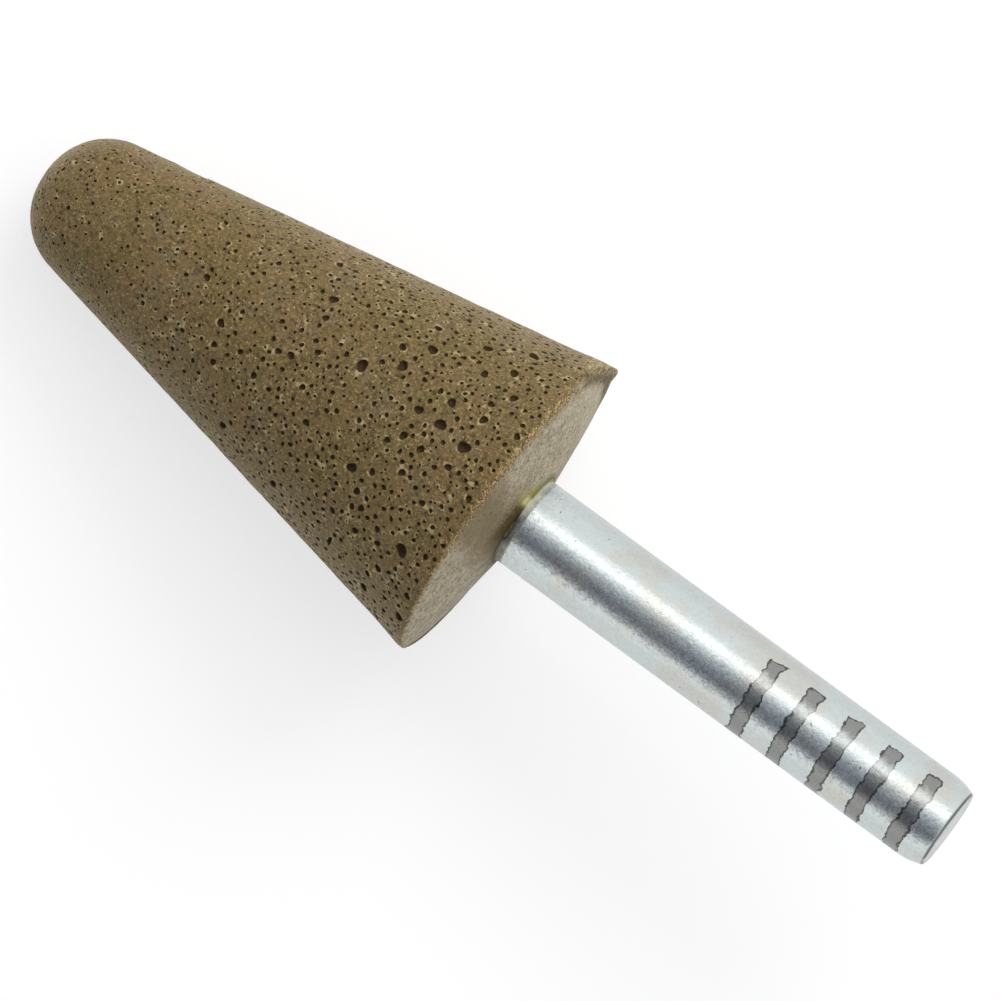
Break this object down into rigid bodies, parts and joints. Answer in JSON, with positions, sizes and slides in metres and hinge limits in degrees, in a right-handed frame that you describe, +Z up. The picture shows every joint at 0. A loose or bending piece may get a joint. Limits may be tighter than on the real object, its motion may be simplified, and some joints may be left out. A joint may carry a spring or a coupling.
{
  "type": "mounted grinding point",
  "caption": "Cone-shaped bonded-abrasive grinding point with a rounded nose, moulded in porous abrasive and cemented on a round steel shank for a drill or die grinder.",
  "frame": {"origin": "centre of the bounding box in X and Y, on the surface that the tool lies on", "axes": "+Z up from the surface; +X runs from the nose to the shank's free end, so the tool's own axis lies in the XZ plane and rises by 11 degrees from +X, as the cone lies on its flank; +Y to the left of the tool seen from the nose"},
  "size_m": [0.0694, 0.022, 0.0216],
  "materials": {
    "abrasive": "matt, porous, khaki brown",
    "steel": "ground, bright zinc plated",
    "cement": "set cement, yellow olive, dull"
  },
  "bodies": {
    "root": {"abrasive_head": "abrasive", "shank": "steel", "cement": "cement"}
  },
  "joints": []
}
